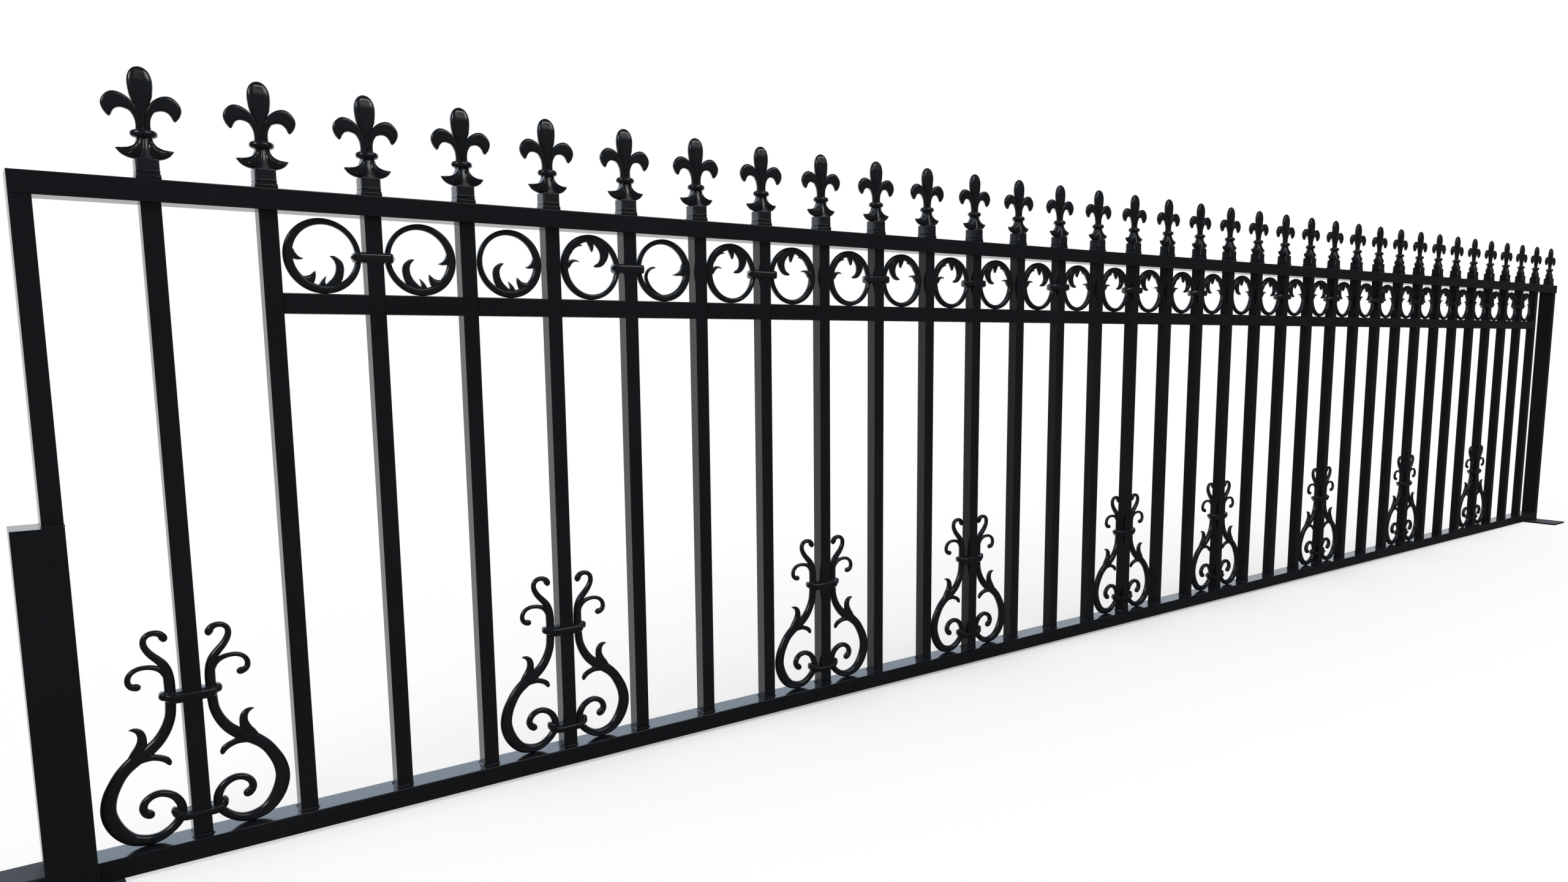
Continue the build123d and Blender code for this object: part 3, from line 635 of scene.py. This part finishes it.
def studio_sky():
    """White to the camera and nearly so to matt surfaces. To gloss it is bright behind the fence, brighter
    and bluer some way up, dimmer overhead and dark elsewhere."""
    world = bpy.data.worlds.new("studio_sky")
    world.use_nodes = True
    tree = world.node_tree
    tree.nodes.clear()
    start = Wire(tree)
    way = start.node("ShaderNodeTexCoord", {}, {}, out="Generated")
    east = start.node("ShaderNodeSeparateXYZ", {}, {"Vector": way}, out="X")
    north = start.node("ShaderNodeSeparateXYZ", {}, {"Vector": way}, out="Y")
    rise = start.node("ShaderNodeSeparateXYZ", {}, {"Vector": way}, out="Z")
    seen = start.node("ShaderNodeLightPath", {}, {}, out="Is Camera Ray")
    mirror = start.node("ShaderNodeLightPath", {}, {}, out="Is Glossy Ray")
    behind = start.node("ShaderNodeMapRange", {"interpolation_type": "SMOOTHSTEP"},
                        {"Value": 0.94 * north + 0.34 * east, "From Min": 0.27, "From Max": 0.60})
    high = start.node("ShaderNodeMapRange", {"interpolation_type": "SMOOTHSTEP"},
                      {"Value": rise, "From Min": 0.06, "From Max": 0.34})
    over = start.node("ShaderNodeMapRange", {"interpolation_type": "SMOOTHSTEP"},
                      {"Value": rise, "From Min": 0.46, "From Max": 0.72})
    left = start.node("ShaderNodeMapRange", {"interpolation_type": "SMOOTHSTEP"},
                      {"Value": east, "From Min": 0.15, "From Max": 0.75, "To Min": 0.6, "To Max": 0.25})
    shown = DARK_SIDE + behind * (1 - 0.75 * over) * (BRIGHT_SIDE + left * high)
    strength = seen + (1 - seen) * (mirror * shown + (1 - mirror) * MATT_SKY)
    tint = start.node("ShaderNodeMix", {"data_type": "RGBA"},
                      {"Factor": mirror * high * (1 - seen), "A": (1, 1, 1, 1), "B": HIGH_BLUE}, out=2)
    sky = start.node("ShaderNodeBackground", {}, {"Color": tint, "Strength": strength})
    start.node("ShaderNodeOutputWorld", {}, {"Surface": sky})
    bpy.context.scene.world = world


def soft_box(name, place, aim, size, power):
    """Flat lamp at a place, turned so that it faces its aim."""
    lamp = bpy.data.lights.new(name, "AREA")
    lamp.shape = "RECTANGLE"
    lamp.size, lamp.size_y = size
    lamp.energy = power
    holder = bpy.data.objects.new(name, lamp)
    bpy.context.scene.collection.objects.link(holder)
    z = np.array(place, float) - np.array(aim, float)
    z /= np.linalg.norm(z)
    x = np.cross([0, 0, 1], z)
    x /= np.linalg.norm(x)
    y = np.cross(z, x)
    rows = [[x[i], y[i], z[i], place[i]] for i in range(3)] + [[0, 0, 0, 1]]
    holder.matrix_world = Matrix(rows)


studio_floor()
studio_sky()
soft_box("left_soft_box", (-3.2, -2.2, 3.4), (1.2, 0, 0.6), (1.6, 1.6), 55)
soft_box("long_soft_box", (3.4, -4.2, 4.2), (3.2, 0, 0.6), (4.5, 1.2), 60)


# Camera
# It stands a little left of the short post, 1.8 m in front of the fence, and looks along it to the right.
# Its place and angles were worked out from the rows of pickets and rails; the frame is 2560 x 1440.
FRAME_WIDTH = 2560.0
FOCAL_PIXELS = 1809.7
CENTRE_OFFSET = (47.0, 93.9)
CAMERA_PLACE = (-0.080, -1.7652, 0.7364)
YAW, PITCH_DOWN, ROLL = 0.6629, 0.1372, -0.0053
ahead = np.array([math.sin(YAW) * math.cos(PITCH_DOWN), math.cos(YAW) * math.cos(PITCH_DOWN),
                  -math.sin(PITCH_DOWN)])
level_right = np.array([math.cos(YAW), -math.sin(YAW), 0.0])
level_up = np.cross(level_right, ahead)
right = level_right * math.cos(ROLL) + level_up * math.sin(ROLL)
upward = level_up * math.cos(ROLL) - level_right * math.sin(ROLL)
lens = bpy.data.cameras.new("camera")
lens.sensor_width = 36.0
lens.lens = FOCAL_PIXELS / FRAME_WIDTH * lens.sensor_width
lens.shift_x = -CENTRE_OFFSET[0] / FRAME_WIDTH
lens.shift_y = CENTRE_OFFSET[1] / FRAME_WIDTH
lens.clip_end = 400.0
camera = bpy.data.objects.new("camera", lens)
camera.matrix_world = Matrix([[right[i], upward[i], -ahead[i], CAMERA_PLACE[i]] for i in range(3)]
                             + [[0, 0, 0, 1]])
bpy.context.scene.collection.objects.link(camera)
bpy.context.scene.camera = camera
bpy.context.scene.view_settings.view_transform = "Standard"
